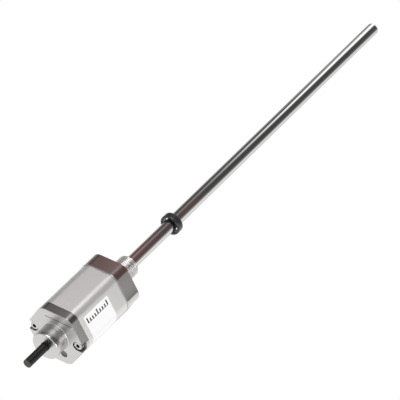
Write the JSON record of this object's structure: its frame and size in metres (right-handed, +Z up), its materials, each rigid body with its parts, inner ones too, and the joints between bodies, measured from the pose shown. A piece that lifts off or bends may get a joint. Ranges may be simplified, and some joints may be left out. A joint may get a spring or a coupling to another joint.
{
  "type": "magnetostrictive position sensor",
  "caption": "Rod-style magnetostrictive position sensor with a hexagon flange and threaded stud, a hexagon housing with a cable boss, and a black ring magnet that slides along the polished rod",
  "frame": {"origin": "centre of the flange's front face, which seats on the port it is screwed into, on the axis of the rod", "axes": "+X runs along the rod to its tip, +Z is up, across two level flats of the hexagon, and +Y follows by the right-hand rule"},
  "size_m": [0.4964, 0.0506, 0.046],
  "materials": {
    "stainless_steel": "polished",
    "anodised_aluminium": "satin anodised",
    "seal_rubber": "matt",
    "cable_jacket": "matt",
    "magnet_compound": "glossy",
    "label_film": "semi-gloss",
    "window_lens": "clear",
    "waveguide_alloy": "drawn",
    "copper": "enamelled",
    "fluoropolymer": "matt",
    "moulded_plastic": "matt",
    "damping_foam": "matt",
    "nickel_plate": "plated",
    "circuit_laminate": "solder mask",
    "component_black": "matt",
    "component_can": "satin",
    "lamp_lens": "clear",
    "brass": "turned",
    "wire_insulation": "satin"
  },
  "bodies": {
    "sensor": {"mounting_flange": "stainless_steel", "pressure_tube": "stainless_steel", "tube_end_plug": "stainless_steel", "housing_profile": "anodised_aluminium", "rear_cap": "anodised_aluminium", "cap_screws": "stainless_steel", "status_window": "window_lens", "cable": "cable_jacket", "side_label": "label_film", "thread_seal": "seal_rubber", "front_seal": "seal_rubber", "rear_seal": "seal_rubber", "waveguide": "waveguide_alloy", "guide_sleeve": "fluoropolymer", "return_wire": "copper", "end_damper": "damping_foam", "end_contact": "brass", "head_carrier": "moulded_plastic", "pickup_shield": "waveguide_alloy", "pickup_bobbin": "moulded_plastic", "pickup_coil": "copper", "coil_leads": "copper", "bias_magnet": "nickel_plate", "head_damper": "damping_foam", "head_cover": "moulded_plastic", "waveguide_anchor": "brass", "board_carrier": "moulded_plastic", "main_board": "circuit_laminate", "power_board": "circuit_laminate", "board_screws": "stainless_steel", "timing_chip": "component_black", "head_connector": "fluoropolymer", "cable_terminal": "component_black", "board_link": "component_black", "supply_capacitors": "component_can", "voltage_regulator": "component_black", "status_led": "lamp_lens", "cable_seal": "seal_rubber", "gland_nut": "nickel_plate", "cable_ferrule": "brass", "conductors": "wire_insulation"},
    "magnet": {"position_magnet": "magnet_compound"}
  },
  "joints": [
    {"name": "magnet_slide", "type": "slide", "parent": "sensor", "child": "magnet", "axis": [1, 0, 0], "range_m": [-0.051, 0.249]}
  ]
}
